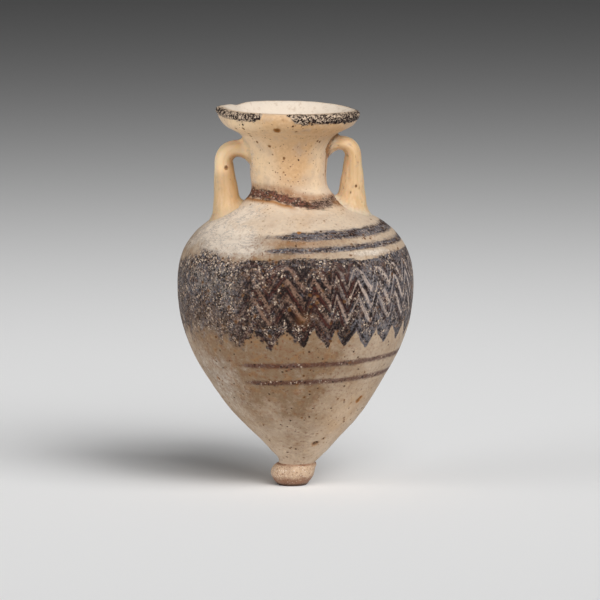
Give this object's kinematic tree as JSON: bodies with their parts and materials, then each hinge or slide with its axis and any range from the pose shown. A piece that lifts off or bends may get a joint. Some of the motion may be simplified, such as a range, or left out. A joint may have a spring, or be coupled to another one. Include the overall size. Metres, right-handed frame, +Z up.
{
  "type": "glass amphoriskos",
  "caption": "Small core-formed glass oil flask: an egg-shaped hollow body that narrows to a knob foot, a short neck with a flaring rim, and a trailed handle on each side from shoulder to neck.",
  "frame": {"origin": "centre of the knob's flat underside, where the flask stands", "axes": "+Z up along the flask, from the knob to the rim; +X towards the right handle in the picture; -Y towards the camera"},
  "size_m": [0.0674, 0.0674, 0.1089],
  "materials": {
    "ivory_glass": "satin",
    "honey_glass": "satin",
    "buff_glass": "satin"
  },
  "bodies": {
    "root": {"vessel": "ivory_glass", "left_handle": "honey_glass", "right_handle": "honey_glass", "base_knob": "buff_glass"}
  },
  "joints": []
}
